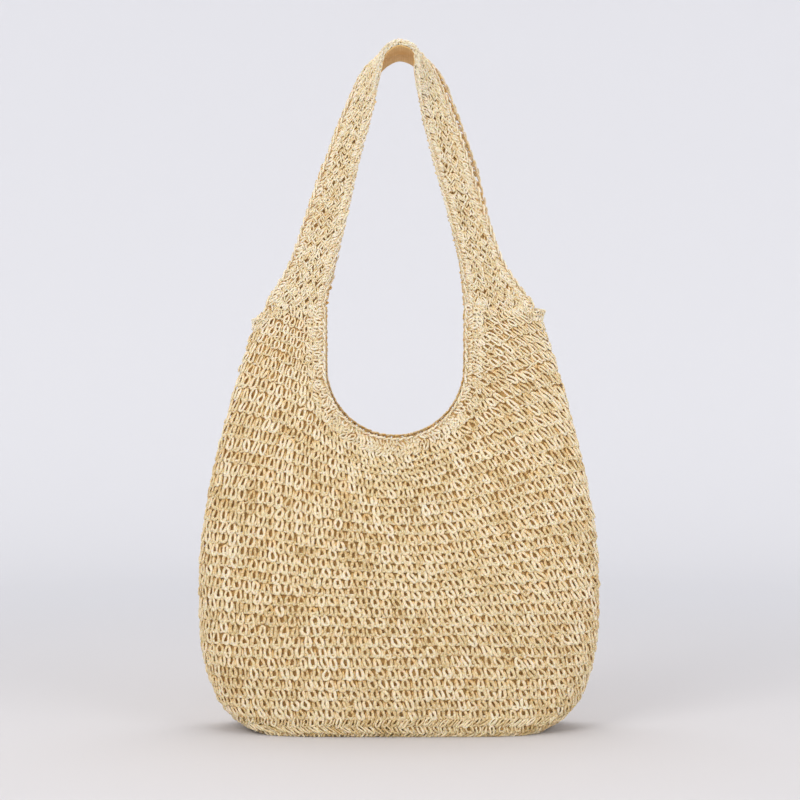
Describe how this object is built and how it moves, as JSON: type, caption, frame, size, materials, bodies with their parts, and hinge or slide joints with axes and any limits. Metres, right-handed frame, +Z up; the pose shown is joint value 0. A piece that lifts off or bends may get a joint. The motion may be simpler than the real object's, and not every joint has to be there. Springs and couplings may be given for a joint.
{
  "type": "hobo bag",
  "caption": "Soft crocheted straw shoulder bag with a scooped mouth, rounded lower corners, an oval base, a cloth lining and paired handles that fold down.",
  "frame": {"origin": "on the floor plane under the middle of the oval base", "axes": "+Z up towards the handles, +X along the width, -Y out of the front face"},
  "size_m": [0.3801, 0.1222, 0.6461],
  "materials": {
    "straw": "crocheted twisted paper straw, matte with a slight sheen along the strands",
    "straw_edging": "denser crochet edging of the same paper straw",
    "lining": "plain woven cotton in tan",
    "tape": "plain woven cotton tape in tan",
    "snap_metal": "satin light gold plating"
  },
  "bodies": {
    "bag": {"base_panel": "straw", "body_wall": "straw", "front_rim": "straw_edging", "back_rim": "straw_edging", "left_corner_edging": "straw_edging", "right_corner_edging": "straw_edging", "lining_wall": "lining", "lining_base": "lining", "slip_pocket": "lining", "pocket_hem": "lining", "front_snap_patch": "lining", "back_snap_patch": "lining", "magnetic_snap_socket": "snap_metal", "magnetic_snap_stud": "snap_metal", "snap_washers": "snap_metal"},
    "front_handle": {"front_handle_band": "straw", "front_handle_outer_edging": "straw_edging", "front_handle_inner_edging": "straw_edging", "front_handle_tape": "tape"},
    "back_handle": {"back_handle_band": "straw", "back_handle_outer_edging": "straw_edging", "back_handle_inner_edging": "straw_edging", "back_handle_tape": "tape"}
  },
  "joints": [
    {"name": "front_handle_fold", "type": "hinge", "parent": "bag", "child": "front_handle", "pos_m": [0, -0.0215, 0.4002], "axis": [1, 0, 0], "range_deg": [0, 150]},
    {"name": "back_handle_fold", "type": "hinge", "parent": "bag", "child": "back_handle", "pos_m": [0, 0.0215, 0.4002], "axis": [-1, 0, 0], "range_deg": [0, 150]}
  ]
}
